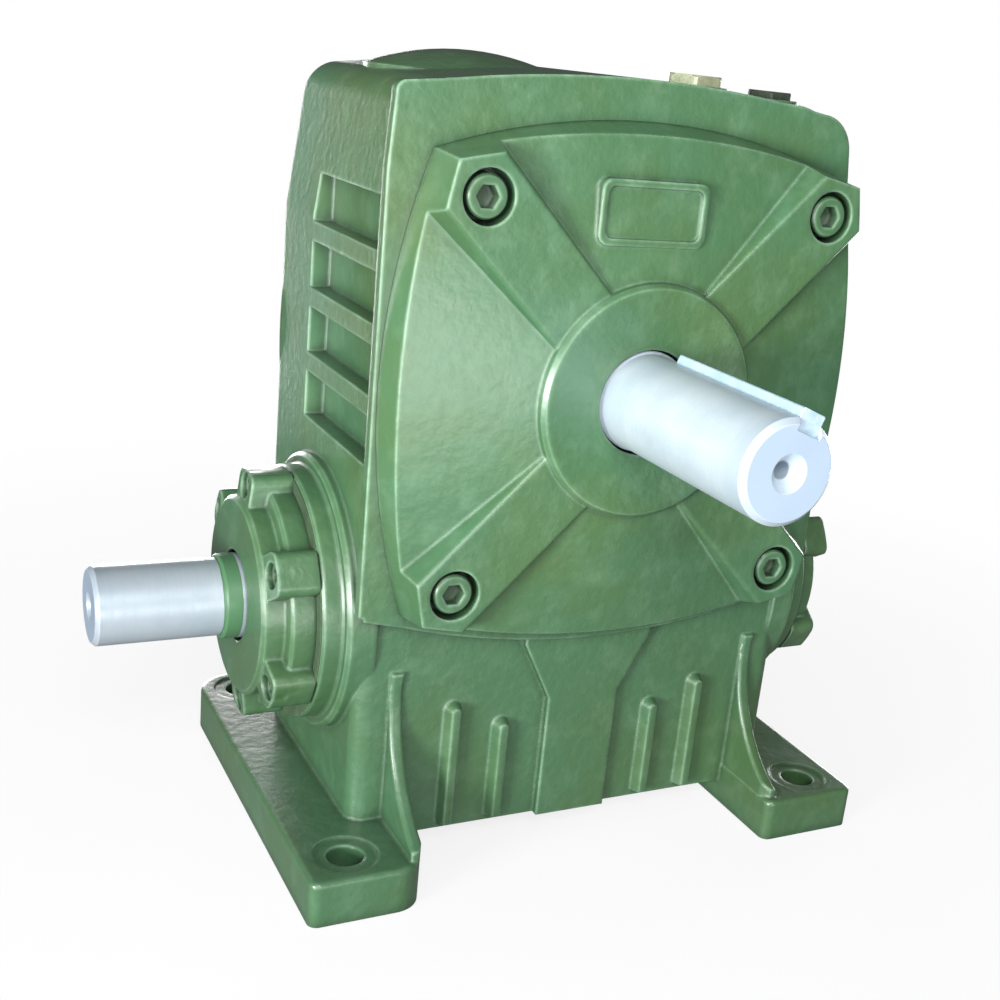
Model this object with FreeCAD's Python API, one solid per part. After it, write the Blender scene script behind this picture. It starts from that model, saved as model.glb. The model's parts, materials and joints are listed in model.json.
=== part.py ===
import FreeCAD, Part
import math
import os

# Worm gear reducer with 100 mm centre distance. The worm lies under the wheel.
# Row frame: +Z up, output shaft points to -Y, input shaft points to -X.
# Origin: centre of the foot bolt pattern on the mounting plane. All sizes in millimetres.

# Gear train
CENTRE_DISTANCE = 100.0
WORM_Z = 100.0
WHEEL_Z = WORM_Z + CENTRE_DISTANCE
MODULE = 5.0
WHEEL_TEETH = 30
WORM_PITCH_R = 25.0
WHEEL_PITCH_R = MODULE * WHEEL_TEETH / 2.0
AXIAL_PITCH = math.pi * MODULE
WORM_TIP_R = WORM_PITCH_R + MODULE
WORM_ROOT_R = WORM_PITCH_R - 1.2 * MODULE
WORM_LENGTH = 84.0
FLANK_PLAY = 0.4
PRESSURE_TAN = math.tan(math.radians(20.0))
RIM_HALF_WIDTH = 21.0
RIM_SEAT_R = 60.0
WHEEL_OUTER_R = 82.5

# Housing
CHAMBER_HALF_W = 102.5
SEAT_Y = 61.5
LOWER_HALF_W = 101.5
LOWER_HALF_D = 56.0
LOWER_BOTTOM = 10.0
CAVITY_HALF_W = 88.0
CAVITY_HALF_D = 51.5
FRAME_BACK_Y = 56.5
COVER_OPENING_R = 85.0
POCKET_FLOOR_X = 94.5
POCKET_REAR_Y = 24.0
POCKET_HEIGHT = 19.0
POCKET_PITCH = 26.7
POCKET_FIRST_Z = 170.0
POCKET_COUNT = 4

# Feet
FOOT_X0 = 81.5
FOOT_X1 = 129.0
FOOT_HALF_Y = 95.0
FOOT_THICK = 19.0
FOOT_BOLT_X = 110.0
FOOT_BOLT_Y = 77.5
FOOT_HOLE_R = 7.5

# Side covers of the wheel chamber
COVER_HALF_W = 103.0
COVER_CORNER = 88.0
COVER_TOP_HALF_W = 95.3
COVER_TOP_CORNER = 86.0
COVER_BASE_Y = 62.0
COVER_RIM_Y = 68.0
COVER_CONE_Y = 79.0
ARM_TOP_Y = 80.4
ARM_HALF_W = 14.5
HUB_FACE_Y = 83.2
HUB_R = 46.0
COVER_BOLT = 74.0
SPIGOT_R = 84.9
GASKET = 0.5

# Output shaft
OUT_EXT_R = 19.0
OUT_END_Y = -173.5
OUT_JOURNAL_R = 20.0
WHEEL_SEAT_R = 22.5
OUT_KEY_ANGLE = 22.0

# Input shaft
IN_EXT_R = 16.0
IN_END_X = -193.5
IN_SHOULDER_X = -143.5
IN_JOURNAL_R = 17.5
IN_BODY_R = 21.0

# Input end covers
PAD_R = 53.0
PAD_X = 115.5
STEP_R = 58.0
STEP_X = 107.0
END_BASE_X = PAD_X + GASKET
END_FLANGE_R = 47.0
END_CAP_R = 41.5
LOBE_R = 53.0
LOBE_HALF_W = 9.0
IN_CAP_X = 136.0
IN_LOBE_X = 134.5
BLIND_CAP_X = 129.0
BLIND_LOBE_X = 130.5
LOBE_DEPTH = 8.0
END_BOLT_R = 47.0
END_BOLTS = 6

# Tapered roller bearings: bore radius, outer radius, cone width, cup width, overall width
OUT_BEARING = (20.0, 40.0, 18.0, 16.0, 19.75)
IN_BEARING = (17.5, 36.0, 17.0, 15.0, 18.25)
OUT_CUP_FACE = 67.0
IN_CUP_FACE = 112.0
FIT = 0.05
ROLLER_GAP = 0.3
ROLLER_LIP_GAP = 1.4
ROLLERS = 16

QUADRANTS = ((-1, -1), (1, -1), (1, 1), (-1, 1))
X_AXIS = FreeCAD.Vector(1, 0, 0)
Y_AXIS = FreeCAD.Vector(0, 1, 0)
Z_AXIS = FreeCAD.Vector(0, 0, 1)


def vec(x, y, z):
    return FreeCAD.Vector(x, y, z)


def box(x0, x1, y0, y1, z0, z1):
    return Part.makeBox(x1 - x0, y1 - y0, z1 - z0, vec(x0, y0, z0))


def rod_x(r, x0, x1, y=0.0, z=WORM_Z):
    return Part.makeCylinder(r, x1 - x0, vec(x0, y, z), X_AXIS)


def rod_y(r, y0, y1, x=0.0, z=WHEEL_Z):
    return Part.makeCylinder(r, y1 - y0, vec(x, y0, z), Y_AXIS)


def rod_z(r, z0, z1, x, y):
    return Part.makeCylinder(r, z1 - z0, vec(x, y, z0), Z_AXIS)


def turned_x(points):
    """Solid of revolution about the worm axis from (x, radius) points."""
    corners = [vec(x, 0, WORM_Z + r) for x, r in points]
    face = Part.Face(Part.makePolygon(corners + corners[:1]))
    return face.revolve(vec(0, 0, WORM_Z), X_AXIS, 360)


def turned_y(points):
    """Solid of revolution about the wheel axis from (y, radius) points."""
    corners = [vec(0, y, WHEEL_Z + r) for y, r in points]
    face = Part.Face(Part.makePolygon(corners + corners[:1]))
    return face.revolve(vec(0, 0, WHEEL_Z), Y_AXIS, 360)


def about_y(shape, angle):
    turned = shape.copy()
    turned.rotate(vec(0, 0, WHEEL_Z), Y_AXIS, angle)
    return turned


def about_x(shape, angle):
    turned = shape.copy()
    turned.rotate(vec(0, 0, WORM_Z), X_AXIS, angle)
    return turned


def half_turn(shape):
    """Copy of a front part placed at the back of the unit."""
    turned = shape.copy()
    turned.rotate(vec(0, 0, 0), Z_AXIS, 180)
    return turned


def joined(shapes):
    first = shapes[0]
    return first.multiFuse(shapes[1:]).removeSplitter()


def extruded(edges, move):
    return Part.Face(Part.Wire(edges)).extrude(move)


def line(a, b):
    return Part.LineSegment(a, b).toShape()


def arc(a, b, c):
    return Part.Arc(a, b, c).toShape()


# ---------------------------------------------------------------- housing

def chamber_outline(y):
    """Wheel chamber: straight sides that taper higher up, crowned top, bowed lower edge."""
    p = [vec(-CHAMBER_HALF_W, y, 110), vec(-CHAMBER_HALF_W, y, 252), vec(-97, y, 298)]
    p += [vec(-82, y, 311.6), vec(78, y, 312), vec(93, y, 298)]
    p += [vec(CHAMBER_HALF_W, y, 235), vec(CHAMBER_HALF_W, y, 110)]
    edges = [line(p[0], p[1]), line(p[1], p[2])]
    edges.append(arc(p[2], vec(-92.3, y, 307.3), p[3]))
    edges.append(arc(p[3], vec(0, y, 318), p[4]))
    edges.append(arc(p[4], vec(88.5, y, 307.5), p[5]))
    edges += [line(p[5], p[6]), line(p[6], p[7])]
    edges.append(arc(p[7], vec(0, y, 97), p[0]))
    return edges


def frame_outline(y):
    """Front frame: square corner above the input side, rounded corner on the far side."""
    p = [vec(-104.5, y, 112), vec(-104.5, y, 280), vec(-103, y, 305), vec(-99, y, 309.5)]
    p += [vec(62, y, 314.5), vec(90, y, 295), vec(104.5, y, 240), vec(104.5, y, 112)]
    edges = [line(p[0], p[1]), line(p[1], p[2])]
    edges.append(arc(p[2], vec(-102, y, 308.2), p[3]))
    edges.append(arc(p[3], vec(-18, y, 315.6), p[4]))
    edges.append(arc(p[4], vec(81, y, 308), p[5]))
    edges += [line(p[5], p[6]), line(p[6], p[7])]
    edges.append(arc(p[7], vec(0, y, 94), p[0]))
    return edges


def cavity_outline(y):
    p = [vec(-CAVITY_HALF_W, y, 104), vec(-CAVITY_HALF_W, y, 236), vec(-80, y, 288)]
    p += [vec(-68, y, 302), vec(68, y, 302), vec(80, y, 288)]
    p += [vec(CAVITY_HALF_W, y, 236), vec(CAVITY_HALF_W, y, 104)]
    return [line(p[i], p[(i + 1) % len(p)]) for i in range(len(p))]


def rounded_block(half_x, half_y, z0, z1, r):
    block = box(-half_x, half_x, -half_y, half_y, z0, z1)
    upright = [e for e in block.Edges if abs(e.tangentAt(e.FirstParameter).z) > 0.99]
    return block.makeFillet(r, upright)


def foot_outline(inner_front_r):
    """Plan of the +X foot: square outer front corner and well rounded rear corners."""
    x0, x1 = FOOT_X0, FOOT_X1
    y0, y1 = -FOOT_HALF_Y, FOOT_HALF_Y
    k = 1 - math.sqrt(0.5)
    radii = [inner_front_r, 4.0, 18.0, 8.0]
    corners = [(x0, y0, 1, 1), (x1, y0, -1, 1), (x1, y1, -1, -1), (x0, y1, 1, -1)]
    edges = []
    ends = []
    for (x, y, sx, sy), r in zip(corners, radii):
        on_x = vec(x + sx * r, y, 0)
        on_y = vec(x, y + sy * r, 0)
        mid = vec(x + sx * r * k, y + sy * r * k, 0)
        first, last = (on_y, on_x) if sx == sy else (on_x, on_y)
        edges.append(arc(first, mid, last))
        ends.append((first, last))
    for i in range(4):
        edges.append(line(ends[i][1], ends[(i + 1) % 4][0]))
    return Part.Face(Part.Wire(Part.__sortEdges__(edges)))


def foot(side, inner_front_r):
    """One foot with a softened top edge, drilled and spot faced for two bolts."""
    slab = foot_outline(inner_front_r).extrude(vec(0, 0, FOOT_THICK))
    slab = slab.makeFillet(2.0, [e for e in slab.Edges if e.BoundBox.ZMin > FOOT_THICK - 0.01])
    holes = []
    for y in (-FOOT_BOLT_Y, FOOT_BOLT_Y):
        holes.append(rod_z(FOOT_HOLE_R, -1, FOOT_THICK + 1, FOOT_BOLT_X, y))
        holes.append(rod_z(13.0, FOOT_THICK - 0.8, FOOT_THICK + 1, FOOT_BOLT_X, y))
    slab = slab.cut(holes)
    if side < 0:
        slab = slab.mirror(vec(0, 0, 0), X_AXIS)
    return slab


def gusset(side, end):
    """Thin upright plate with a hollow front edge, its toe following the rounded foot corner."""
    x0 = FOOT_X0 + 0.5
    top = vec(x0, -LOWER_HALF_D - 2, 84)
    toe = vec(x0, -91, 23)
    edges = [arc(top, vec(x0, -66, 45), toe)]
    corners = [toe, vec(x0, -91, 12), vec(x0, -LOWER_HALF_D + 4, 12)]
    corners += [vec(x0, -LOWER_HALF_D + 4, 86), top]
    for a, b in zip(corners, corners[1:]):
        edges.append(line(a, b))
    plate = extruded(edges, vec(5.5, 0, 0))
    hollow = [e for e in plate.Edges if e.BoundBox.XLength < 0.01 and e.BoundBox.YMax < -57
              and e.BoundBox.YLength > 30]
    plate = plate.makeFillet(1.2, hollow).common(foot_outline(12.0).extrude(vec(0, 0, 100)))
    if side < 0:
        plate = plate.mirror(vec(0, 0, 0), X_AXIS)
    if end > 0:
        plate = plate.mirror(vec(0, 0, 0), Y_AXIS)
    return plate


def wall_rib(x, z_top, end):
    """Low stiffening rib with sloping sides and a round head on the lower end wall."""
    y_root, y_crest = -LOWER_HALF_D + 2, -LOWER_HALF_D - 4.5
    half_root, half_crest = 5.1, 1.8
    z_head = z_top - half_root
    p = [vec(x - half_root, y_root, 13), vec(x - half_crest, y_crest, 13)]
    p += [vec(x + half_crest, y_crest, 13), vec(x + half_root, y_root, 13)]
    rib = Part.Face(Part.makePolygon(p + p[:1])).extrude(vec(0, 0, z_head - 13))
    head = Part.makeCone(half_root, half_crest, y_root - y_crest, vec(x, y_root, z_head), vec(0, -1, 0))
    rib = rib.fuse(head)
    if end > 0:
        rib = rib.mirror(vec(0, 0, 0), Y_AXIS)
    return rib


def wall_column(end):
    """Raised centre column of the lower end wall, widening towards the cover."""
    y = -LOWER_HALF_D - 3.5
    p = [(-16.6, 10), (16.6, 10), (16.6, 66), (30, 92), (30, 98), (-30, 98), (-30, 92), (-16.6, 66)]
    corners = [vec(x, y, z) for x, z in p]
    column = Part.Face(Part.makePolygon(corners + corners[:1])).extrude(vec(0, 8, 0))
    if end > 0:
        column = column.mirror(vec(0, 0, 0), Y_AXIS)
    return column


def side_pocket(side, index):
    """Shallow cast pocket in the side wall, ending in a slope towards the front frame."""
    z0 = POCKET_FIRST_Z + index * POCKET_PITCH
    outer = CHAMBER_HALF_W + 6
    p = [(-FRAME_BACK_Y, outer), (-FRAME_BACK_Y, POCKET_FLOOR_X + 3)]
    p.append((-FRAME_BACK_Y + 5, POCKET_FLOOR_X))
    p += [(POCKET_REAR_Y - 1, POCKET_FLOOR_X), (POCKET_REAR_Y, outer)]
    corners = [vec(x, y, z0) for y, x in p]
    pocket = Part.Face(Part.makePolygon(corners + corners[:1])).extrude(vec(0, 0, POCKET_HEIGHT))
    if side < 0:
        pocket = pocket.mirror(vec(0, 0, 0), X_AXIS)
    return pocket


def bearing_boss(side):
    """Round pad around the worm bearing, stepped outside and carried into the chamber."""
    boss = turned_x([(76, 46), (76, 0), (PAD_X, 0), (PAD_X, PAD_R - 1), (PAD_X - 1, PAD_R),
                     (STEP_X + 0.8, PAD_R), (STEP_X, PAD_R + 0.8), (STEP_X, STEP_R - 1.5),
                     (STEP_X - 1.5, STEP_R), (95, STEP_R), (95, 46)])
    if side < 0:
        boss = boss.mirror(vec(0, 0, 0), X_AXIS)
    return boss


def cover_bolt_places():
    return [(sx * COVER_BOLT, WHEEL_Z + sz * COVER_BOLT) for sx, sz in QUADRANTS]


def end_bolt_places():
    step = 360.0 / END_BOLTS
    return [math.radians(30.0 + i * step) for i in range(END_BOLTS)]


def top_bosses():
    """Domed inspection pad and the two plug seats on the crown."""
    dome_r, pad_top = 106.0, 321.5
    pad = Part.makeSphere(dome_r, vec(-44, 14, pad_top - dome_r)).common(rod_z(42, 300, 330, -44, 14))
    vent_seat = rod_z(15, 300, 317.5, 54, 0)
    filler_seat = rod_z(12.5, 300, 315.5, 72, -30)
    return [pad, vent_seat, filler_seat]


def housing_outside():
    seat = vec(0, 2 * SEAT_Y, 0)
    parts = [extruded(chamber_outline(-SEAT_Y), seat)]
    parts.append(extruded(frame_outline(-SEAT_Y), vec(0, SEAT_Y - FRAME_BACK_Y, 0)))
    parts.append(rounded_block(LOWER_HALF_W, LOWER_HALF_D, LOWER_BOTTOM, 140, 7))
    parts += [foot(-1, 12.0), foot(1, 4.0)]
    parts += top_bosses()
    for side in (-1, 1):
        parts.append(bearing_boss(side))
        for end in (-1, 1):
            parts.append(gusset(side, end))
    for end in (-1, 1):
        parts.append(wall_column(end))
        for x, z_top in ((-59, 70), (-36.5, 60), (36.5, 60), (59, 69)):
            parts.append(wall_rib(x, z_top, end))
    parts.append(rod_y(19, LOWER_HALF_D - 2, LOWER_HALF_D + 6, 0, 74))
    parts.append(rod_y(14, LOWER_HALF_D - 2, LOWER_HALF_D + 5, 0, 32))
    return joined(parts)


def housing_inside():
    upper = extruded(cavity_outline(-CAVITY_HALF_D), vec(0, 2 * CAVITY_HALF_D, 0))
    lower = rounded_block(93, 46.5, 20, 125, 8)
    inside = upper.fuse(lower)
    keep = []
    for side in (-1, 1):
        tube = rod_x(46, 76, 96) if side > 0 else rod_x(46, -96, -76)
        keep.append(tube)
    for x, z in cover_bolt_places():
        for end in (-1, 1):
            y0, y1 = (-CAVITY_HALF_D - 1, -36) if end < 0 else (36, CAVITY_HALF_D + 1)
            keep.append(rod_y(11, y0, y1, x, z))
    keep.append(rod_z(15, 290, 306, 54, 0))
    keep.append(rod_z(12, 290, 306, 72, -30))
    return inside.cut(keep)


def housing():
    body = housing_outside().cut(housing_inside())
    tools = [rod_y(COVER_OPENING_R, -70, -CAVITY_HALF_D + 1)]
    tools.append(rod_y(COVER_OPENING_R, CAVITY_HALF_D - 1, 70))
    tools += [rod_x(IN_BEARING[1], -120, -70), rod_x(IN_BEARING[1], 70, 120)]
    for side in (-1, 1):
        for i in range(POCKET_COUNT):
            tools.append(side_pocket(side, i))
        for a in end_bolt_places():
            y = END_BOLT_R * math.cos(a)
            z = WORM_Z + END_BOLT_R * math.sin(a)
            x0, x1 = (98, 118) if side > 0 else (-118, -98)
            tools.append(rod_x(3.05, x0, x1, y, z))
    for x, z in cover_bolt_places():
        tools.append(rod_y(5.05, -70, -39.5, x, z))
        tools.append(rod_y(5.05, 39.5, 70, x, z))
    tools.append(rod_z(8.05, 285, 330, 54, 0))
    tools.append(rod_z(6.05, 285, 330, 72, -30))
    tools.append(rod_y(8.05, 30, 70, 0, 32))
    tools.append(rod_y(10.0, 30, 70, 0, 74))
    tools.append(rod_y(15.05, LOWER_HALF_D + 0.5, 70, 0, 74))
    return body.cut(tools)


# ---------------------------------------------------------------- chamber covers

def cover_outline(y, corner, half_w):
    """Square with bowed sides: corner points joined by four arcs."""
    corners = [vec(sx * corner, y, WHEEL_Z + sz * corner) for sx, sz in QUADRANTS]
    mids = [vec(0, y, WHEEL_Z - half_w), vec(half_w, y, WHEEL_Z)]
    mids += [vec(0, y, WHEEL_Z + half_w), vec(-half_w, y, WHEEL_Z)]
    edges = [arc(corners[i], mids[i], corners[(i + 1) % 4]) for i in range(4)]
    return Part.Wire(edges)


def cover_arm(angle):
    """Flat topped bar from the hub to one corner bolt, with sloping sides."""
    half_top = ARM_HALF_W
    half_root = ARM_HALF_W + 6.5
    p = [vec(-half_root, -COVER_BASE_Y, 0), vec(half_root, -COVER_BASE_Y, 0)]
    p += [vec(half_top, -ARM_TOP_Y, 0), vec(-half_top, -ARM_TOP_Y, 0)]
    bar = Part.Face(Part.makePolygon(p + p[:1])).extrude(vec(0, 0, 130))
    crest = [e for e in bar.Edges if e.BoundBox.YMax < -ARM_TOP_Y + 0.01 and e.BoundBox.ZLength > 100]
    bar = bar.makeFillet(1.5, crest)
    bar.translate(vec(0, 0, WHEEL_Z))
    return about_y(bar, angle)


def cover_tablet():
    """Blank raised cast tablet with a sunk field, above the hub."""
    plate = rounded_slab(-5, 271, 23, 12, 4, -77.8, -70)
    field = rounded_slab(-5, 271, 20.5, 9.5, 3, -79, -76.8)
    return plate.cut(field)


def rounded_slab(x, z, half_w, half_h, r, y0, y1):
    slab = box(x - half_w, x + half_w, y0, y1, z - half_h, z + half_h)
    along = [e for e in slab.Edges if abs(e.tangentAt(e.FirstParameter).y) > 0.99]
    return slab.makeFillet(r, along)


def cover_shell():
    """Outside of a chamber cover without bores, on the front side of the unit."""
    base = cover_outline(-COVER_BASE_Y, COVER_CORNER, COVER_HALF_W)
    top = cover_outline(-ARM_TOP_Y, COVER_TOP_CORNER, COVER_TOP_HALF_W)
    draft = Part.makeLoft([base, top], True, True)
    dome = turned_y([(-COVER_BASE_Y, 0), (-COVER_BASE_Y, 130), (-COVER_RIM_Y, 130),
                     (-COVER_CONE_Y, HUB_R), (-COVER_CONE_Y, 0)])
    raised = [dome]
    for angle in (45, 135, 225, 315):
        raised.append(cover_arm(angle))
    face = draft.common(joined(raised))
    hub = turned_y([(-COVER_BASE_Y, 0), (-COVER_BASE_Y, HUB_R + 1), (-COVER_CONE_Y + 1, HUB_R + 0.6),
                    (-HUB_FACE_Y + 1.5, HUB_R), (-HUB_FACE_Y, HUB_R - 1.5), (-HUB_FACE_Y, 43),
                    (-80.6, 24), (-80.6, 0)])
    spigot = rod_y(SPIGOT_R, -COVER_BASE_Y, -56.5).cut(rod_y(76, -COVER_BASE_Y, -56))
    inner_hub = turned_y([(-COVER_BASE_Y, 0), (-COVER_BASE_Y, 56), (-48, 50), (-48, 0)])
    shell = joined([face, hub, spigot, inner_hub])
    tools = []
    for x, z in cover_bolt_places():
        tools.append(rod_y(5.5, -90, -55, x, z))
        tools.append(rod_y(10.0, -90, -69.4, x, z))
    return shell.cut(tools)


def front_cover():
    bores = turned_y([(-90, 0), (-90, 20.8), (-77.6, 20.8), (-77.6, 31), (-68.4, 31), (-68.4, 34),
                      (-OUT_CUP_FACE, 34), (-OUT_CUP_FACE, 40), (-40, 40), (-40, 0)])
    return cover_shell().fuse(cover_tablet()).cut(bores).removeSplitter()


def rear_cover():
    bores = turned_y([(-71, 0), (-71, 34), (-OUT_CUP_FACE, 34), (-OUT_CUP_FACE, 40), (-40, 40), (-40, 0)])
    return half_turn(cover_shell().cut(bores))


def cover_gasket():
    outline = cover_outline(-COVER_BASE_Y, COVER_CORNER, COVER_HALF_W)
    sheet = Part.Face(outline).extrude(vec(0, GASKET, 0))
    tools = [rod_y(COVER_OPENING_R + 0.5, -70, -50)]
    for x, z in cover_bolt_places():
        tools.append(rod_y(5.5, -70, -50, x, z))
    return sheet.cut(tools)


def hexagon_rod(across, y0, y1, x, z):
    r = across / math.sqrt(3.0)
    angles = [math.radians(60 * i) for i in range(6)]
    p = [vec(x + r * math.cos(a), y0, z + r * math.sin(a)) for a in angles]
    return Part.Face(Part.makePolygon(p + p[:1])).extrude(vec(0, y1 - y0, 0))


def cover_screws():
    """Four M10 socket head screws, sunk in the corner pads."""
    screws = []
    for x, z in cover_bolt_places():
        head = rod_y(8.0, -79.4, -69.4, x, z)
        head = head.makeChamfer(0.8, [e for e in head.Edges if abs(e.BoundBox.YMax + 79.4) < 0.01])
        screw = head.fuse(rod_y(5.0, -69.4, -41, x, z))
        screws.append(screw.cut(hexagon_rod(8.0, -80, -74, x, z)))
    return Part.makeCompound(screws)


# ---------------------------------------------------------------- input end covers

def lobe(angle, front_x):
    """Bolt lobe on the end cover rim, with rounded outer corners and a sloping face."""
    deep = front_x - END_BASE_X
    tall = LOBE_R - 36
    p = [vec(0, 0, 0), vec(deep, 0, 0), vec(deep - 2, 0, tall), vec(0, 0, tall)]
    wedge = Part.Face(Part.makePolygon(p + p[:1])).extrude(vec(0, 2 * LOBE_HALF_W, 0))
    wedge.translate(vec(END_BASE_X, -LOBE_HALF_W, WORM_Z + 36))
    wedge = wedge.common(rod_x(LOBE_R, END_BASE_X - 1, front_x + 1))
    outer = [e for e in wedge.Edges if e.BoundBox.YLength < 0.01 and e.BoundBox.XLength > 8]
    outer = [e for e in outer if e.BoundBox.ZMin > WORM_Z + 45]
    return about_x(wedge.makeFillet(4.0, outer), angle)


def end_cover_blank(cap_x, lobe_x):
    """Round flange with six lobes, on the far (+X) side."""
    parts = [turned_x([(IN_CUP_FACE, 0), (IN_CUP_FACE, 35.9), (END_BASE_X, 35.9),
                       (END_BASE_X, END_FLANGE_R), (125, END_FLANGE_R), (126, END_FLANGE_R - 1),
                       (126.8, END_CAP_R), (cap_x - 1.5, END_CAP_R - 0.3),
                       (cap_x, END_CAP_R - 1.8), (cap_x, 0)])]
    for i in range(END_BOLTS):
        parts.append(lobe(60 * i, lobe_x))
    blank = joined(parts)
    tools = []
    for a in end_bolt_places():
        y = END_BOLT_R * math.cos(a)
        z = WORM_Z + END_BOLT_R * math.sin(a)
        tools.append(rod_x(3.3, 110, 140, y, z))
        tools.append(rod_x(5.3, lobe_x - LOBE_DEPTH, 140, y, z))
    return blank.cut(tools)


def blind_end_cover():
    relief = turned_x([(IN_CUP_FACE - 1, 0), (IN_CUP_FACE - 1, 30), (119, 30), (119, 0)])
    return end_cover_blank(BLIND_CAP_X, BLIND_LOBE_X).cut(relief)


def input_end_cover():
    bores = turned_x([(111, 0), (111, 30), (123, 30), (123, 27), (133, 27), (133, 19), (140, 19), (140, 0)])
    return half_turn(end_cover_blank(IN_CAP_X, IN_LOBE_X).cut(bores))


def end_gasket():
    tools = [rod_x(36.5, PAD_X - 1, PAD_X + 2)]
    for a in end_bolt_places():
        y = END_BOLT_R * math.cos(a)
        z = WORM_Z + END_BOLT_R * math.sin(a)
        tools.append(rod_x(3.3, PAD_X - 1, PAD_X + 2, y, z))
    return rod_x(52.0, PAD_X, END_BASE_X).cut(tools)


def end_screws(lobe_x):
    """Six M6 socket head screws sunk in the lobes."""
    seat_x = lobe_x - LOBE_DEPTH
    screws = []
    for a in end_bolt_places():
        y = END_BOLT_R * math.cos(a)
        z = WORM_Z + END_BOLT_R * math.sin(a)
        screw = rod_x(5.0, seat_x, seat_x + 5, y, z).fuse(rod_x(3.0, 100, seat_x, y, z))
        socket = hexagon_rod(5.0, -2.5, 2.5, 0, 0)
        socket.rotate(vec(0, 0, 0), Z_AXIS, 90)
        socket.translate(vec(seat_x + 5, y, z))
        screws.append(screw.cut(socket))
    return Part.makeCompound(screws)


# ---------------------------------------------------------------- seals and plugs

def output_seal():
    return turned_y([(-77.4, 22), (-77.4, 30.95), (-69.4, 30.95), (-69.4, 28.5), (-75.6, 28.5), (-75.6, 24),
                     (-70.6, 22), (-71.2, OUT_JOURNAL_R + 0.08), (-72.2, OUT_JOURNAL_R + 0.08)])


def input_seal():
    ring = turned_x([(132.8, 19), (132.8, 26.95), (124.8, 26.95), (124.8, 24.5), (131, 24.5), (131, 20.5),
                     (126, 19), (126.6, IN_JOURNAL_R + 0.08), (127.6, IN_JOURNAL_R + 0.08)])
    return half_turn(ring)


def hex_plug_z(across, r, x, y, seat_z, head, shank):
    """Hexagon head plug standing on the crown."""
    blank = hexagon_rod(across, 0, head, 0, 0)
    blank.rotate(vec(0, 0, 0), X_AXIS, 90)
    blank.translate(vec(x, y, seat_z))
    disc = rod_z(across * 0.56, seat_z, seat_z + head, x, y)
    disc = disc.makeChamfer(0.9, [e for e in disc.Edges if abs(e.BoundBox.ZMin - seat_z - head) < 0.01])
    return blank.common(disc).fuse(rod_z(r, seat_z - shank, seat_z, x, y))


def vent_plug():
    plug = hex_plug_z(22.0, 8.0, 54, 0, 317.5, 4.2, 16)
    return plug.cut([rod_z(1.5, 318, 330, 54, 0), rod_z(3.0, 295, 318.6, 54, 0)])


def filler_plug():
    return hex_plug_z(17.0, 6.0, 72, -30, 315.5, 3.0, 14)


def drain_washer():
    y = LOWER_HALF_D + 5
    return rod_y(12, y, y + 1.5, 0, 32).cut(rod_y(8.1, y - 1, y + 3, 0, 32))


def drain_plug():
    y = LOWER_HALF_D + 6.5
    flange = rod_y(11, y, y + 2, 0, 32)
    head = hexagon_rod(17.0, y + 2, y + 9, 0, 32)
    return joined([flange, head, rod_y(8.0, y - 18, y, 0, 32)])


def sight_frame():
    y = LOWER_HALF_D + 0.5
    ring = turned_ring(0, 74, 15.0, 10.2, y + 1, y + 5.5)
    collar = turned_ring(0, 74, 18.0, 11.0, y + 5.5, y + 8.5)
    return ring.fuse(collar).removeSplitter()


def turned_ring(x, z, r_out, r_in, y0, y1):
    return rod_y(r_out, y0, y1, x, z).cut(rod_y(r_in, y0 - 1, y1 + 1, x, z))


def sight_lens():
    y = LOWER_HALF_D + 0.5
    return rod_y(10.15, y + 1, y + 5.5, 0, 74)


def sight_gasket():
    y = LOWER_HALF_D + 0.5
    return turned_ring(0, 74, 15.0, 10.0, y, y + 1)


# ---------------------------------------------------------------- bearings

def bearing_profiles(bearing):
    """Section outlines from the cup back face (0) inwards, as (distance, radius) points."""
    bore, outer, cone_w, cup_w, total = bearing
    cup_slope = math.tan(math.radians(14.0))
    slope = math.tan(math.radians(10.0))
    cup_small = outer - 0.24 * (outer - bore)
    cup = [(0, outer - FIT), (cup_w, outer - FIT)]
    cup += [(cup_w, cup_small + cup_slope * cup_w / 2), (0, cup_small - cup_slope * cup_w / 2)]
    cone_a = total - cone_w
    cone_mid = bore + 0.34 * (outer - bore)
    half = cone_w / 2 - 2.4
    mid = (cone_a + total) / 2
    big = cone_mid + slope * half
    small = cone_mid - slope * half
    cone = [(cone_a, bore + FIT), (total, bore + FIT), (total, big + 2.2), (total - 2.4, big + 2.2)]
    cone += [(total - 2.4, big), (cone_a + 2.4, small), (cone_a + 2.4, small + 0.8)]
    cone.append((cone_a, small + 0.8))
    race_cup = (cup_w / 2, cup_small, cup_slope)
    race_cone = (mid, cone_mid, slope)
    return cup, cone, race_cup, race_cone, half


def spun(points, axis, face, direction):
    """Revolve (distance, radius) points measured inwards from the cup back face."""
    placed = [(direction * (face - d), r) for d, r in points]
    return turned_x(placed) if axis == "x" else turned_y(placed)


def race_radius(race, d):
    at, radius, slope = race
    return radius + slope * (d - at)


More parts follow.
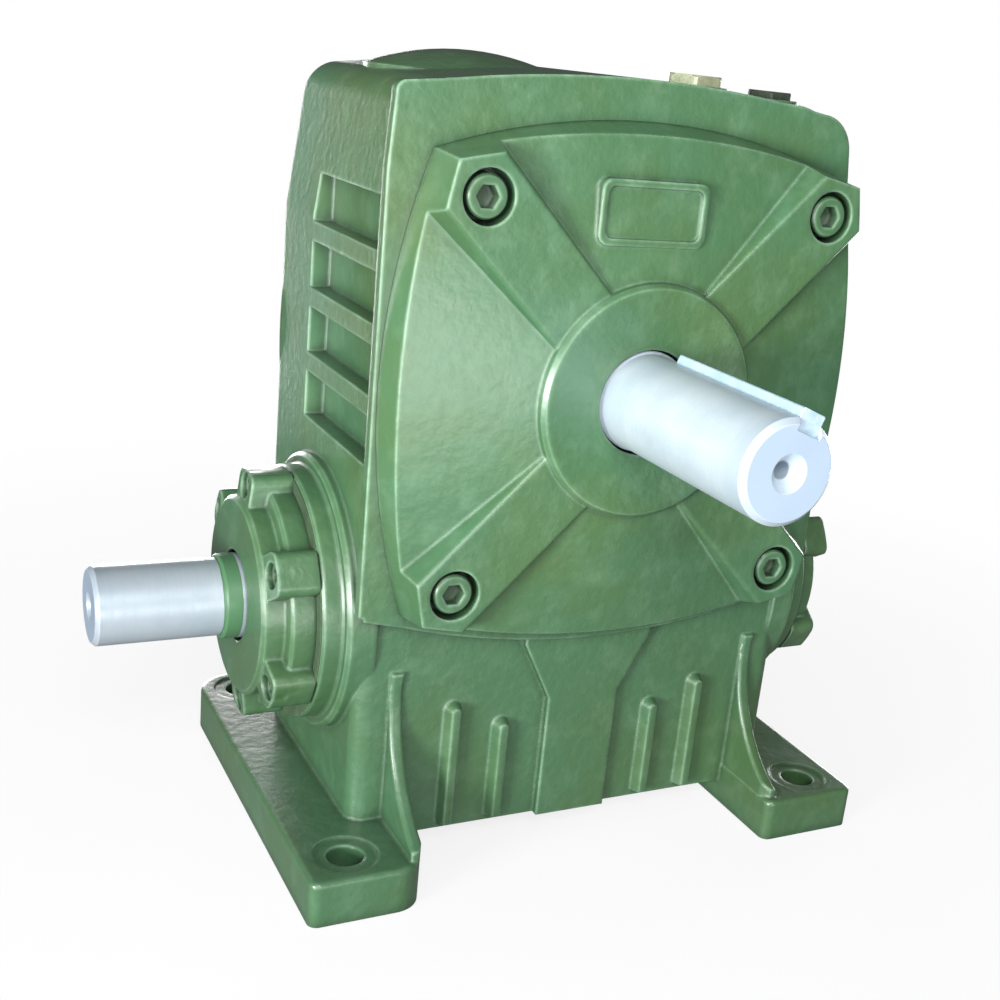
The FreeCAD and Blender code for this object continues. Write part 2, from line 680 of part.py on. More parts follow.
def bearing_rollers(bearing, axis, face, direction):
    """Tapered rollers set between the races with a small gap to each."""
    cup, cone, race_cup, race_cone, half = bearing_profiles(bearing)
    d0 = race_cone[0] - half + ROLLER_GAP
    d1 = race_cone[0] + half - ROLLER_LIP_GAP
    rollers = []
    mids = []
    sizes = []
    for d in (d0, d1):
        low = race_radius(race_cone, d) + ROLLER_GAP
        high = race_radius(race_cup, d) - ROLLER_GAP
        mids.append((low + high) / 2)
        sizes.append((high - low) / 2)
    if axis == "x":
        a = vec(direction * (face - d0), 0, WORM_Z + mids[0])
        b = vec(direction * (face - d1), 0, WORM_Z + mids[1])
    else:
        a = vec(0, direction * (face - d0), WHEEL_Z + mids[0])
        b = vec(0, direction * (face - d1), WHEEL_Z + mids[1])
    roller = Part.makeCone(sizes[0], sizes[1], (b - a).Length, a, b - a)
    for i in range(ROLLERS):
        angle = 360.0 * i / ROLLERS
        rollers.append(about_x(roller, angle) if axis == "x" else about_y(roller, angle))
    return Part.makeCompound(rollers)


def bearing_cage(bearing, axis, face, direction):
    """Pressed cage: two rings joined by bars between the rollers."""
    cup, cone, race_cup, race_cone, half = bearing_profiles(bearing)
    d0 = race_cone[0] - half + ROLLER_GAP
    d1 = race_cone[0] + half - ROLLER_LIP_GAP
    points = []
    for d, k in ((d0 - 1.2, -0.6), (d1 + 0.9, -0.6), (d1 + 0.9, 0.6), (d0 - 1.2, 0.6)):
        middle = (race_radius(race_cone, d) + race_radius(race_cup, d)) / 2 + 0.6
        points.append((d, middle + k))
    shell = spun(points, axis, face, direction)
    windows = []
    wide = bearing_rollers(bearing, axis, face, direction)
    for roller in wide.Solids:
        grown = roller.copy()
        grown.scale(1.06, roller.CenterOfMass)
        windows.append(grown)
    return shell.cut(windows)


# ---------------------------------------------------------------- worm

def worm_thread():
    """Single start right hand thread of trapezoid section, its crest centred at x = 0 on top."""
    half_pitch = AXIAL_PITCH / 4 - FLANK_PLAY
    root_r = WORM_ROOT_R - 0.6
    half_root = half_pitch + (WORM_PITCH_R - root_r) * PRESSURE_TAN
    half_tip = half_pitch - (WORM_TIP_R - WORM_PITCH_R) * PRESSURE_TAN
    turns = WORM_LENGTH / AXIAL_PITCH + 2.0
    start = -AXIAL_PITCH * math.floor(turns / 2)
    height = -2 * start
    spine = Part.makeHelix(AXIAL_PITCH, height, root_r)
    p = [vec(root_r, 0, -half_root), vec(WORM_TIP_R, 0, -half_tip)]
    p += [vec(WORM_TIP_R, 0, half_tip), vec(root_r, 0, half_root)]
    profile = Part.makePolygon(p + p[:1])
    thread = Part.Wire(spine.Edges).makePipeShell([profile], True, True)
    thread.translate(vec(0, 0, start))
    thread.rotate(vec(0, 0, 0), Y_AXIS, 90)
    thread.rotate(vec(0, 0, 0), X_AXIS, 180)
    thread.translate(vec(0, 0, WORM_Z))
    half = WORM_LENGTH / 2
    keep = turned_x([(-half, 0), (-half, 24), (-half + 4, WORM_TIP_R + 1),
                     (half - 4, WORM_TIP_R + 1), (half, 24), (half, 0)])
    return thread.common(keep)


def worm_shaft():
    """Worm cut in one piece with the input shaft."""
    half = WORM_LENGTH / 2
    inner = IN_CUP_FACE - IN_BEARING[4]
    core = turned_x([(IN_END_X, 0), (IN_END_X, IN_EXT_R - 1.5), (IN_END_X + 1.5, IN_EXT_R),
                     (IN_SHOULDER_X, IN_EXT_R), (IN_SHOULDER_X, IN_JOURNAL_R - 0.8),
                     (IN_SHOULDER_X + 0.8, IN_JOURNAL_R), (-inner, IN_JOURNAL_R),
                     (-inner, IN_BODY_R), (-half - 3, IN_BODY_R), (-half, WORM_ROOT_R),
                     (half, WORM_ROOT_R), (half + 3, IN_BODY_R), (inner, IN_BODY_R),
                     (inner, IN_JOURNAL_R), (113, IN_JOURNAL_R), (114, IN_JOURNAL_R - 1), (114, 0)])
    shaft = core.fuse(worm_thread())
    keyway = box(IN_END_X + 6, IN_END_X + 40, -5, 5, -IN_EXT_R - 1, -IN_EXT_R + 5)
    keyway = keyway.fuse(rod_z(5, -IN_EXT_R - 1, -IN_EXT_R + 5, IN_END_X + 6, 0))
    keyway = keyway.fuse(rod_z(5, -IN_EXT_R - 1, -IN_EXT_R + 5, IN_END_X + 40, 0))
    keyway.rotate(vec(0, 0, 0), X_AXIS, 40)
    keyway.translate(vec(0, 0, WORM_Z))
    centre = rod_x(2.5, IN_END_X - 1, IN_END_X + 9)
    cup = Part.makeCone(5.5, 2.5, 3.5, vec(IN_END_X, 0, WORM_Z), X_AXIS)
    return shaft.cut([keyway, centre, cup])


# ---------------------------------------------------------------- wheel

def involute_angle(r, base_r):
    """Polar angle of the involute at radius r."""
    if r <= base_r:
        return 0.0
    t = math.sqrt((r / base_r) ** 2 - 1.0)
    return t - math.atan(t)


def wheel_profile(y):
    """Toothed outline at one face, turned to follow the worm lead, with a gap at the bottom."""
    base_r = WHEEL_PITCH_R * math.cos(math.radians(20.0))
    root_r = WHEEL_PITCH_R - 1.25 * MODULE
    half_tooth = math.pi / (2 * WHEEL_TEETH)
    at_pitch = involute_angle(WHEEL_PITCH_R, base_r)
    radii = [root_r, 71.2, 73.0, 75.0, 77.2, 79.6, WHEEL_OUTER_R]
    lead = MODULE / (2 * WORM_PITCH_R)
    twist = lead * y / WHEEL_PITCH_R
    points = []
    for i in range(WHEEL_TEETH):
        middle = 2 * math.pi * (i + 0.5) / WHEEL_TEETH
        flank = [(r, half_tooth + at_pitch - involute_angle(r, base_r)) for r in radii]
        for r, a in flank:
            points.append((r, middle - a))
        for r, a in reversed(flank):
            points.append((r, middle + a))
    corners = []
    for r, a in points:
        b = a - twist
        corners.append(vec(r * math.sin(b), y, WHEEL_Z - r * math.cos(b)))
    return Part.makePolygon(corners + corners[:1])


def rim_screw_angles():
    return [math.radians(60 * i + 30) for i in range(6)]


def wheel_rim():
    """Bronze rim with throated teeth."""
    w = RIM_HALF_WIDTH
    ring = Part.makeLoft([wheel_profile(-w), wheel_profile(w)], True, True)
    throat = Part.makeTorus(CENTRE_DISTANCE, WORM_ROOT_R + 1.2, vec(0, 0, WHEEL_Z), Y_AXIS)
    bevel = turned_y([(-w - 1, 79), (-w - 1, 90), (w + 1, 90), (w + 1, 79),
                      (w - 4, WHEEL_OUTER_R + 0.5), (-w + 4, WHEEL_OUTER_R + 0.5)])
    tools = [throat, bevel, rod_y(RIM_SEAT_R + FIT, -30, 30)]
    for a in rim_screw_angles():
        tools.append(rod_y(4.05, -30, -6, RIM_SEAT_R * math.sin(a), WHEEL_Z + RIM_SEAT_R * math.cos(a)))
    return ring.cut(tools)


def wheel_hub():
    """Cast iron wheel centre with a web and six lightening holes."""
    hub = turned_y([(-30, WHEEL_SEAT_R + FIT), (-30, 35), (-29, 36), (-9, 37), (-8, 50),
                    (-19, 52), (-19, RIM_SEAT_R), (19, RIM_SEAT_R), (19, 52), (8, 50), (9, 37),
                    (29, 36), (30, 35), (30, WHEEL_SEAT_R + FIT)])
    tools = [box(-7.05, 7.05, -31, 31, WHEEL_Z + 10, WHEEL_Z + 26.4)]
    for i in range(6):
        a = math.radians(60 * i)
        tools.append(rod_y(4.5, -20, 20, 43.5 * math.sin(a), WHEEL_Z + 43.5 * math.cos(a)))
    for a in rim_screw_angles():
        tools.append(rod_y(4.05, -30, -6, RIM_SEAT_R * math.sin(a), WHEEL_Z + RIM_SEAT_R * math.cos(a)))
    return hub.cut(tools)


def rim_screws():
    """Six M8 grub screws that lock the rim on its seat."""
    screws = []
    for a in rim_screw_angles():
        x = RIM_SEAT_R * math.sin(a)
        z = WHEEL_Z + RIM_SEAT_R * math.cos(a)
        screws.append(rod_y(4.0, -19.5, -7, x, z).cut(hexagon_rod(4.0, -20, -16, x, z)))
    return Part.makeCompound(screws)


def wheel_key():
    return box(-7, 7, -25, 25, WHEEL_Z + 17.0, WHEEL_Z + 26.0)


def output_key():
    """Square ended parallel key on the free end of the output shaft."""
    key = box(-5, 5, -171.5, -94, WHEEL_Z + 14.0, WHEEL_Z + 22.0)
    top_edges = [e for e in key.Edges if e.BoundBox.ZMin > WHEEL_Z + 20]
    long_top = [e for e in top_edges if e.BoundBox.YLength > 1]
    key = key.makeChamfer(0.5, long_top)
    return about_y(key, OUT_KEY_ANGLE)


def output_shaft():
    """Stepped shaft: keyed end, seal and bearing journals, wheel seat and collar."""
    inner = OUT_CUP_FACE - OUT_BEARING[4]
    shaft = turned_y([(OUT_END_Y, 0), (OUT_END_Y, OUT_EXT_R - 2), (OUT_END_Y + 2, OUT_EXT_R),
                      (-79.4, OUT_EXT_R), (-78.4, OUT_JOURNAL_R), (-31, OUT_JOURNAL_R),
                      (-31, WHEEL_SEAT_R), (30.5, WHEEL_SEAT_R), (30.5, 27), (inner, 27),
                      (inner, OUT_JOURNAL_R), (67, OUT_JOURNAL_R), (68, OUT_JOURNAL_R - 1), (68, 0)])
    slot = box(-5.02, 5.02, OUT_END_Y - 1, -94, WHEEL_Z + 14.0, WHEEL_Z + 30)
    seat_slot = box(-7.02, 7.02, -25.02, 25.02, WHEEL_Z + 17.0, WHEEL_Z + 30)
    centre = rod_y(3.2, OUT_END_Y - 1, OUT_END_Y + 14)
    cup = Part.makeCone(7.0, 3.2, 4.5, vec(0, OUT_END_Y, WHEEL_Z), Y_AXIS)
    return shaft.cut([about_y(slot, OUT_KEY_ANGLE), seat_slot, centre, cup])


def wheel_spacer():
    """Sleeve between the wheel and the front bearing."""
    inner = OUT_CUP_FACE - OUT_BEARING[4]
    return turned_y([(-inner, OUT_JOURNAL_R + FIT), (-inner, 26), (-31, 26), (-31, OUT_JOURNAL_R + FIT)])


def save(name, shape):
    shape.exportStep(os.path.join("parts", name + ".step"))


def save_bearing(name, bearing, axis, face, direction):
    cup, cone, race_cup, race_cone, half = bearing_profiles(bearing)
    save(name + "_cup", spun(cup, axis, face, direction))
    save(name + "_cone", spun(cone, axis, face, direction))
    save(name + "_rollers", bearing_rollers(bearing, axis, face, direction))
    save(name + "_cage", bearing_cage(bearing, axis, face, direction))


def main():
    os.makedirs("parts", exist_ok=True)
    save("housing", housing())
    save("front_cover", front_cover())
    save("rear_cover", rear_cover())
    save("front_cover_gasket", cover_gasket())
    save("rear_cover_gasket", half_turn(cover_gasket()))
    save("front_cover_screws", cover_screws())
    save("rear_cover_screws", half_turn(cover_screws()))
    save("input_end_cover", input_end_cover())
    save("blind_end_cover", blind_end_cover())
    save("input_end_gasket", half_turn(end_gasket()))
    save("blind_end_gasket", end_gasket())
    save("input_end_screws", half_turn(end_screws(IN_LOBE_X)))
    save("blind_end_screws", end_screws(BLIND_LOBE_X))
    save("output_oil_seal", output_seal())
    save("input_oil_seal", input_seal())
    save("vent_plug", vent_plug())
    save("filler_plug", filler_plug())
    save("drain_plug", drain_plug())
    save("drain_washer", drain_washer())
    save("sight_glass_frame", sight_frame())
    save("sight_glass_lens", sight_lens())
    save("sight_glass_gasket", sight_gasket())
    save("worm_shaft", worm_shaft())
    save("wheel_rim", wheel_rim())
    save("wheel_hub", wheel_hub())
    save("rim_screws", rim_screws())
    save("wheel_key", wheel_key())
    save("output_key", output_key())
    save("output_shaft", output_shaft())
    save("wheel_spacer", wheel_spacer())
    save_bearing("front_bearing", OUT_BEARING, "y", OUT_CUP_FACE, -1)
    save_bearing("rear_bearing", OUT_BEARING, "y", OUT_CUP_FACE, 1)
    save_bearing("input_bearing", IN_BEARING, "x", IN_CUP_FACE, -1)
    save_bearing("far_bearing", IN_BEARING, "x", IN_CUP_FACE, 1)


main()
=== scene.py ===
import json
import math

import bpy
from mathutils import Matrix, Vector

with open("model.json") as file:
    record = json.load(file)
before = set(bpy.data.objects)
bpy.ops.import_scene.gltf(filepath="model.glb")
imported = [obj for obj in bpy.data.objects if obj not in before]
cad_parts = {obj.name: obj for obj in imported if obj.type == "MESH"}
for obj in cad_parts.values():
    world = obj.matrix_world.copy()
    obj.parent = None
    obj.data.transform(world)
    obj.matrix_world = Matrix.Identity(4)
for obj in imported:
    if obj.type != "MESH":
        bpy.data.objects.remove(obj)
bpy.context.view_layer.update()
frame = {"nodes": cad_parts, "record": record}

NODES = frame["nodes"]

# ---------------------------------------------------------------- materials

# Linear colours of the enamel and of the bright steel, among them tones used as painted shade and painted
# highlight
GREEN = (0.057, 0.143, 0.069)
GREEN_OLIVE = (0.064, 0.122, 0.040)
# Deepest green, used only as painted shade
GREEN_PAINTED_SHADE = (0.012, 0.034, 0.013)
# Pale green, used for random pale patches and for the painted highlight on edges
GREEN_LIGHT = (0.270, 0.450, 0.300)
STEEL_DULL = (0.60, 0.72, 0.82)
STEEL_BRIGHT = (0.74, 0.84, 0.92)
STEEL_SCORED = (0.55, 0.66, 0.76)
STEEL_END_SHADE = (0.53, 0.68, 0.86)
STEEL_METALLIC = 0.25

# Enamel: noise scales per metre, then lengths in metres
DRIFT_SCALE = 14.0
PATCH_SCALE = 75.0
LUMP_SCALE = 230.0
GRAIN_SCALE = 800.0
ENAMEL_EDGE = 0.0024
CREVICE_REACH = 0.007
PEBBLE_HEIGHT = 0.0007
# Heights in metres over which the enamel is painted darker towards the bottom, as painted shade
SHADE_BELOW_LOW = 0.10
SHADE_BELOW_HIGH = 0.20
SHADE_BELOW_WANDER = 0.05

# Input shaft: the stretch of its neck that carries enamel, along X in metres
NECK_PAINT_FROM = -0.1435
NECK_PAINT_TO = -0.1362
NECK_PAINT_WAVER = 0.0012


class Tree:
    """Short calls for building a material's node tree."""

    def __init__(self, name):
        self.material = bpy.data.materials.new(name)
        self.material.use_nodes = True
        self.tree = self.material.node_tree
        self.tree.nodes.clear()
        self.output = self.add("ShaderNodeOutputMaterial")
        self.shader = self.add("ShaderNodeBsdfPrincipled")
        self.link(self.shader.outputs[0], self.output.inputs["Surface"])

    def add(self, kind, **values):
        node = self.tree.nodes.new(kind)
        for key, value in values.items():
            setattr(node, key, value)
        return node

    def link(self, source, target):
        self.tree.links.new(source, target)

    def place(self, scale=(1.0, 1.0, 1.0)):
        """Object coordinates, stretched by scale."""
        coords = self.add("ShaderNodeTexCoord")
        mapping = self.add("ShaderNodeMapping")
        mapping.inputs["Scale"].default_value = scale
        self.link(coords.outputs["Object"], mapping.inputs["Vector"])
        return mapping.outputs["Vector"]

    def noise(self, where, scale, detail=3.0, rough=0.5):
        node = self.add("ShaderNodeTexNoise")
        node.inputs["Scale"].default_value = scale
        node.inputs["Detail"].default_value = detail
        node.inputs["Roughness"].default_value = rough
        self.link(where, node.inputs["Vector"])
        return node.outputs["Fac"]

    def spread(self, value, low, high, to_low=0.0, to_high=1.0):
        node = self.add("ShaderNodeMapRange")
        node.inputs["From Min"].default_value = low
        node.inputs["From Max"].default_value = high
        node.inputs["To Min"].default_value = to_low
        node.inputs["To Max"].default_value = to_high
        self.link(value, node.inputs["Value"])
        return node.outputs["Result"]

    def math(self, kind, a, b=None):
        node = self.add("ShaderNodeMath", operation=kind)
        for i, value in enumerate((a, b)):
            if value is None:
                continue
            if isinstance(value, (int, float)):
                node.inputs[i].default_value = value
            else:
                self.link(value, node.inputs[i])
        return node.outputs[0]

    def mix(self, share, a, b):
        node = self.add("ShaderNodeMix", data_type="RGBA")
        self.link(share, node.inputs["Factor"])
        for socket, value in (("A", a), ("B", b)):
            target = [s for s in node.inputs if s.name == socket and s.type == "RGBA"][0]
            if isinstance(value, tuple):
                target.default_value = (*value, 1.0)
            else:
                self.link(value, target)
        return [s for s in node.outputs if s.type == "RGBA"][0]

    def bump(self, height, strength, distance, normal=None):
        node = self.add("ShaderNodeBump")
        node.inputs["Strength"].default_value = strength
        node.inputs["Distance"].default_value = distance
        self.link(height, node.inputs["Height"])
        if normal is not None:
            self.link(normal, node.inputs["Normal"])
        return node.outputs["Normal"]

    def rounded(self, radius):
        """Normal with softened edges, and a 0..1 mask that is high on edges."""
        bevel = self.add("ShaderNodeBevel", samples=6)
        bevel.inputs["Radius"].default_value = radius
        geometry = self.add("ShaderNodeNewGeometry")
        dot = self.add("ShaderNodeVectorMath", operation="DOT_PRODUCT")
        self.link(bevel.outputs["Normal"], dot.inputs[0])
        self.link(geometry.outputs["Normal"], dot.inputs[1])
        edge = self.spread(dot.outputs["Value"], 0.99, 0.80)
        return bevel.outputs["Normal"], edge

    def crevice(self, distance):
        """Openness within the distance: 1 on a free surface, falling towards 0 in a hollow."""
        node = self.add("ShaderNodeAmbientOcclusion", samples=6)
        node.inputs["Distance"].default_value = distance
        return node.outputs["AO"]

    def set(self, **values):
        names = {"coat": "Coat Weight", "coat_roughness": "Coat Roughness", "metallic": "Metallic",
                 "roughness": "Roughness", "ior": "IOR", "transmission": "Transmission Weight"}
        for key, value in values.items():
            self.shader.inputs[names[key]].default_value = value


def enamel(name, tone=1.0, pebble=1.0):
    """Green enamel over a rough sand casting, with random pale patches, a painted highlight on edges, and
    painted shade in hollows and towards the bottom.
    """
    t = Tree(name)
    here = t.place()
    normal, edge = t.rounded(ENAMEL_EDGE)
    drift = t.noise(here, DRIFT_SCALE, 3.0, 0.55)
    patch = t.noise(here, PATCH_SCALE, 3.0, 0.6)
    lumps = t.noise(here, LUMP_SCALE, 1.5, 0.45)
    grain = t.noise(here, GRAIN_SCALE, 2.0, 0.55)
    base, olive, shade_green, light = (
        tuple(c * tone for c in colour) for colour in (GREEN, GREEN_OLIVE, GREEN_PAINTED_SHADE, GREEN_LIGHT))
    colour = t.mix(t.spread(drift, 0.42, 0.70, 0.0, 0.8), base, olive)
    colour = t.mix(t.spread(patch, 0.50, 0.85, 0.0, 0.15), colour, light)
    # Painted highlight: edges are mixed towards the pale green, more where the patch noise is high
    edge_highlight = t.math("MULTIPLY", edge, t.spread(patch, 0.30, 0.60, 0.35, 0.85))
    colour = t.mix(edge_highlight, colour, light)
    # Painted shade: below a height that wanders with the drift noise, the enamel darkens towards the
    # deepest green
    place = t.add("ShaderNodeSeparateXYZ")
    t.link(here, place.inputs[0])
    shade_below = t.math("ADD", place.outputs["Z"], t.math("MULTIPLY", drift, SHADE_BELOW_WANDER))
    colour = t.mix(t.spread(shade_below, SHADE_BELOW_LOW, SHADE_BELOW_HIGH, 0.30, 0.0), colour, shade_green)
    # Painted shade: ambient occlusion darkens the enamel in hollows and corners
    hollow = t.spread(t.crevice(CREVICE_REACH), 0.30, 0.90, 0.90, 0.0)
    colour = t.mix(hollow, colour, shade_green)
    t.link(colour, t.shader.inputs["Base Color"])
    t.link(t.spread(patch, 0.30, 0.75, 0.31, 0.44), t.shader.inputs["Roughness"])
    height = t.math("ADD", lumps, t.math("MULTIPLY", grain, 0.30))
    height = t.math("ADD", height, t.math("MULTIPLY", patch, 0.25))
    t.link(t.bump(height, 0.45, PEBBLE_HEIGHT * pebble, normal), t.shader.inputs["Normal"])
    t.set(coat=0.60, coat_roughness=0.28)
    return t.material


def turned_steel(name, axis, tone=1.0, paint_from=None, paint_to=None):
    """Bright ground steel ringed around the axis, with end faces painted darker and bluer as painted shade,
    a painted highlight on edges, and enamel over one stretch.
    """
    t = Tree(name)
    rings = [30.0, 30.0, 30.0]
    rings["xyz".index(axis)] = 900.0
    ring = t.noise(t.place(tuple(rings)), 1.0, 2.0, 0.6)
    cloud = t.noise(t.place(), 45.0, 4.0, 0.6)
    normal, edge = t.rounded(0.0006)
    dull, bright, scored, end_shade = (
        tuple(c * tone for c in colour) for colour in (STEEL_DULL, STEEL_BRIGHT, STEEL_SCORED, STEEL_END_SHADE))
    colour = t.mix(t.spread(cloud, 0.35, 0.70), dull, bright)
    colour = t.mix(t.spread(ring, 0.45, 0.80, 0.0, 0.16), colour, scored)
    # Painted shade: faces that look along the axis are mixed towards a darker, bluer steel
    facing = t.add("ShaderNodeSeparateXYZ")
    t.link(t.add("ShaderNodeNewGeometry").outputs["Normal"], facing.inputs[0])
    end = t.math("ABSOLUTE", facing.outputs["XYZ".index(axis.upper())])
    colour = t.mix(t.spread(end, 0.70, 0.95, 0.0, 0.8), colour, end_shade)
    # Painted highlight: edges are mixed towards near white
    colour = t.mix(t.math("MULTIPLY", edge, 0.6), colour, (0.95, 0.97, 1.0))
    metal, rough = STEEL_METALLIC, t.spread(ring, 0.3, 0.7, 0.34, 0.48)
    t.set(metallic=metal)
    if paint_from is not None:
        place = t.add("ShaderNodeSeparateXYZ")
        t.link(t.place(), place.inputs[0])
        waver = t.math("MULTIPLY", cloud, NECK_PAINT_WAVER)
        along = t.math("ADD", place.outputs["XYZ".index(axis.upper())], waver)
        painted = t.math("MULTIPLY", t.math("GREATER_THAN", along, paint_from),
                         t.math("LESS_THAN", along, paint_to))
        colour = t.mix(painted, colour, GREEN)
        bare = t.math("SUBTRACT", 1.0, painted)
        t.link(t.math("MULTIPLY", bare, metal), t.shader.inputs["Metallic"])
    t.link(colour, t.shader.inputs["Base Color"])
    t.link(rough, t.shader.inputs["Roughness"])
    t.link(t.bump(ring, 0.15, 0.00003, normal), t.shader.inputs["Normal"])
    return t.material


def plain(name, colour, dark, roughness, metallic=0.0, scale=160.0, bump=0.0002, bevel=0.0006):
    """One substance with mottled colour, uneven gloss and softened edges that carry a painted highlight."""
    t = Tree(name)
    here = t.place()
    cloud = t.noise(here, scale, 4.0, 0.6)
    grain = t.noise(here, scale * 6.0, 2.0, 0.5)
    normal, edge = t.rounded(bevel)
    tint = t.mix(t.spread(cloud, 0.35, 0.70), dark, colour)
    # Painted highlight: edges are mixed towards a paler copy of the colour
    edge_highlight_tint = tuple(min(1.0, c * 1.25 + 0.03) for c in colour)
    tint = t.mix(t.math("MULTIPLY", edge, 0.55), tint, edge_highlight_tint)
    t.link(tint, t.shader.inputs["Base Color"])
    t.link(t.spread(cloud, 0.3, 0.75, roughness - 0.08, roughness + 0.1), t.shader.inputs["Roughness"])
    t.link(t.bump(grain, 0.4, bump, normal), t.shader.inputs["Normal"])
    t.set(metallic=metallic)
    return t.material


def clear_glass(name):
    """Clear glass with a faint, uneven haze."""
    t = Tree(name)
    here = t.place()
    haze = t.noise(here, 90.0, 3.0, 0.6)
    t.link(t.mix(haze, (0.80, 0.84, 0.74), (0.92, 0.95, 0.88)), t.shader.inputs["Base Color"])
    t.link(t.spread(haze, 0.3, 0.7, 0.03, 0.12), t.shader.inputs["Roughness"])
    t.set(transmission=0.9, ior=1.5)
    return t.material


MATERIALS = {
    "green_enamel": enamel("green_enamel"),
    "painted_screw": enamel("painted_screw", 0.92, 0.6),
    "gasket_paper": plain("gasket_paper", (0.045, 0.085, 0.040), (0.025, 0.050, 0.022), 0.8),
    "seal_rubber": plain("seal_rubber", (0.016, 0.020, 0.016), (0.008, 0.010, 0.008), 0.55),
    "ground_steel": turned_steel("ground_steel", "y", 0.72),
    "key_steel": plain("key_steel", (0.52, 0.66, 0.78), (0.40, 0.54, 0.66), 0.40, 0.25),
    "vent_brass": plain("vent_brass", (0.62, 0.66, 0.46), (0.42, 0.46, 0.28), 0.42, 0.35),
    "dark_plug": plain("dark_plug", (0.055, 0.075, 0.050), (0.03, 0.04, 0.025), 0.5),
    "copper_washer": plain("copper_washer", (0.60, 0.28, 0.15), (0.38, 0.17, 0.09), 0.4, 1.0),
    "zinc_frame": plain("zinc_frame", (0.50, 0.51, 0.50), (0.34, 0.35, 0.34), 0.42, 0.9),
    "sight_glass": clear_glass("sight_glass"),
    "wheel_bronze": plain("wheel_bronze", (0.62, 0.38, 0.15), (0.42, 0.25, 0.10), 0.32, 1.0),
    "wheel_iron": plain("wheel_iron", (0.17, 0.17, 0.18), (0.09, 0.09, 0.10), 0.5, 0.7),
    "dark_screw": plain("dark_screw", (0.06, 0.06, 0.065), (0.03, 0.03, 0.035), 0.4, 0.8),
    "bearing_steel": plain("bearing_steel", (0.72, 0.73, 0.75), (0.55, 0.56, 0.58), 0.2, 1.0),
    "cage_steel": plain("cage_steel", (0.40, 0.41, 0.42), (0.26, 0.27, 0.28), 0.4, 0.9),
}
INPUT_STEEL = turned_steel("ground_steel_input", "x", 0.47, NECK_PAINT_FROM, NECK_PAINT_TO)


def dress_cad_nodes():
    """Every CAD node takes the material of its slot in the record."""
    for part in frame["record"]["subparts"]:
        node = NODES[part["node"]]
        material = MATERIALS[part["material_slot"]]
        if part["node"] == "worm_shaft":
            material = INPUT_STEEL
        if not node.material_slots:
            node.data.materials.append(material)
        for holder in node.material_slots:
            holder.material = material


dress_cad_nodes()

# ---------------------------------------------------------------- floor, light and camera

FLOOR_HALF = 3.0
FLOOR_DROP = 0.0004
FILM_DENSITY = 0.20
FILM_FADE_FROM = 0.12
FILM_FADE_TO = 0.60
FILL = 0.09
MIDDLE = Vector((0.0, 0.0, 0.15))

# Lamps: name, bearing and height in degrees, distance and side in metres, power in watts
LAMPS = (
    ("key", 62, 2, 1.5, 0.40, 33.0),
    ("glint", -2, -6, 1.5, 0.45, 5.5),
    ("near", 40, 5, 0.85, 0.70, 4.5),
    ("upper", 18, 32, 1.2, 0.45, 9.5),
    ("rear", 185, -2, 1.5, 0.7, 20.0),
    ("far_side", 245, -2, 1.5, 0.7, 15.0),
)

# Camera: it looks BEARING degrees from +Y towards +X and DIP degrees below level, with its right
# side raised by ROLL degrees; place in metres, lens and sensor in millimetres, shift in sensor widths
CAMERA_BEARING = 29.140
CAMERA_DIP = 18.323
CAMERA_ROLL = 6.338
CAMERA_PLACE = (-0.27817, -0.52155, 0.31851)
CAMERA_LENS = 49.61
CAMERA_SENSOR = 36.0
CAMERA_SHIFT = (-0.0594, 0.0269)


def make_floor():
    """A sheet of white film that takes a soft shadow and fades into the backdrop with distance."""
    mesh = bpy.data.meshes.new("floor")
    s = FLOOR_HALF
    mesh.from_pydata([(-s, -s, 0), (s, -s, 0), (s, s, 0), (-s, s, 0)], [], [(0, 1, 2, 3)])
    floor = bpy.data.objects.new("floor", mesh)
    bpy.context.scene.collection.objects.link(floor)
    t = Tree("floor_film")
    here = t.place()
    cloud = t.noise(here, 1.5, 2.0, 0.5)
    t.link(t.mix(cloud, (0.86, 0.86, 0.86), (0.90, 0.90, 0.90)), t.shader.inputs["Base Color"])
    reach = t.add("ShaderNodeVectorMath", operation="LENGTH")
    t.link(here, reach.inputs[0])
    density = t.spread(reach.outputs["Value"], FILM_FADE_FROM, FILM_FADE_TO, FILM_DENSITY, 0.0)
    t.link(density, t.shader.inputs["Alpha"])
    t.set(roughness=0.9)
    mesh.materials.append(t.material)
    floor.location.z = -FLOOR_DROP


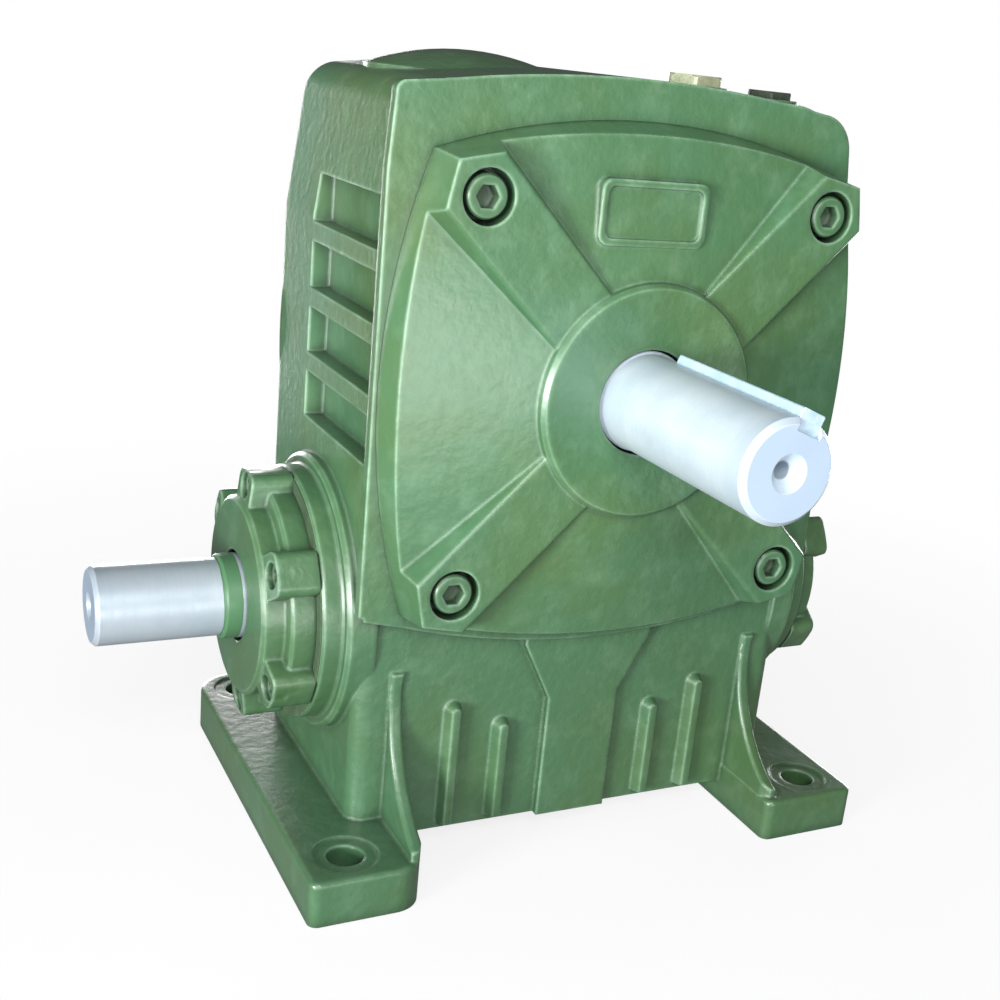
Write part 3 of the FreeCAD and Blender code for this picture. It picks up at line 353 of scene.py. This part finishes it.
def soft_light(name, bearing, height, reach, size, power):
    """A square lamp reach metres from the object's middle; bearing is degrees from -Y towards -X."""
    data = bpy.data.lights.new(name, "AREA")
    data.size = size
    data.energy = power
    lamp = bpy.data.objects.new(name, data)
    bpy.context.scene.collection.objects.link(lamp)
    turn, lift = math.radians(bearing), math.radians(height)
    away = Vector((-math.sin(turn) * math.cos(lift), -math.cos(turn) * math.cos(lift), math.sin(lift)))
    lamp.location = MIDDLE + reach * away
    lamp.rotation_euler = (-away).to_track_quat("-Z", "Y").to_euler()


def make_world():
    """A white backdrop that lights the object only a little, so that the lamps give it its shape."""
    world = bpy.data.worlds.new("studio")
    world.use_nodes = True
    tree = world.node_tree
    seen = tree.nodes["Background"]
    seen.inputs["Color"].default_value = (1.0, 1.0, 1.0, 1.0)
    seen.inputs["Strength"].default_value = 1.0
    fill = tree.nodes.new("ShaderNodeBackground")
    fill.inputs["Color"].default_value = (0.94, 0.97, 1.0, 1.0)
    fill.inputs["Strength"].default_value = FILL
    path = tree.nodes.new("ShaderNodeLightPath")
    blend = tree.nodes.new("ShaderNodeMixShader")
    tree.links.new(path.outputs["Is Camera Ray"], blend.inputs[0])
    tree.links.new(fill.outputs[0], blend.inputs[1])
    tree.links.new(seen.outputs[0], blend.inputs[2])
    tree.links.new(blend.outputs[0], tree.nodes["World Output"].inputs["Surface"])
    bpy.context.scene.world = world


def make_camera():
    """A slightly rolled camera whose lens is shifted a little off the middle of the picture."""
    data = bpy.data.cameras.new("camera")
    data.sensor_width = CAMERA_SENSOR
    data.lens = CAMERA_LENS
    data.shift_x, data.shift_y = CAMERA_SHIFT
    camera = bpy.data.objects.new("camera", data)
    bpy.context.scene.collection.objects.link(camera)
    turn = (Matrix.Rotation(math.radians(-CAMERA_BEARING), 4, "Z")
            @ Matrix.Rotation(math.radians(90.0 - CAMERA_DIP), 4, "X")
            @ Matrix.Rotation(math.radians(CAMERA_ROLL), 4, "Z"))
    camera.matrix_world = Matrix.Translation(CAMERA_PLACE) @ turn
    bpy.context.scene.camera = camera


make_floor()
make_world()
for lamp in LAMPS:
    soft_light(*lamp)
make_camera()
bpy.context.scene.view_settings.view_transform = "Standard"
